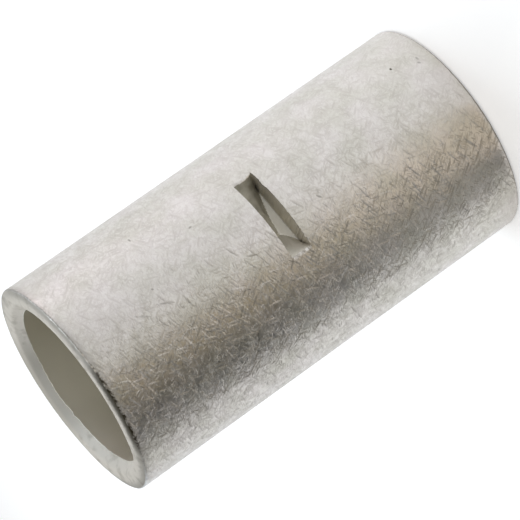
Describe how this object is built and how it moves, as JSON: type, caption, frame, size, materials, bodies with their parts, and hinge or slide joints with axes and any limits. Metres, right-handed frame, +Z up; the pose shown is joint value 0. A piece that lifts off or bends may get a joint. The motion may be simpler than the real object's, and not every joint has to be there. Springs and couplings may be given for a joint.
{
  "type": "butt splice connector",
  "caption": "Bare plated copper butt splice: a short tube with countersunk mouths and a punched centre stop, crimped over cable conductors laid end to end.",
  "frame": {"origin": "centre of the lower end face", "axes": "+Z up along the tube's axis; -Y out through the middle of the punched notch"},
  "size_m": [0.0196, 0.0196, 0.0396],
  "materials": {
    "plated_copper": "dull tin plating, covered in short fine scratches"
  },
  "bodies": {
    "root": {"splice_barrel": "plated_copper"}
  },
  "joints": []
}
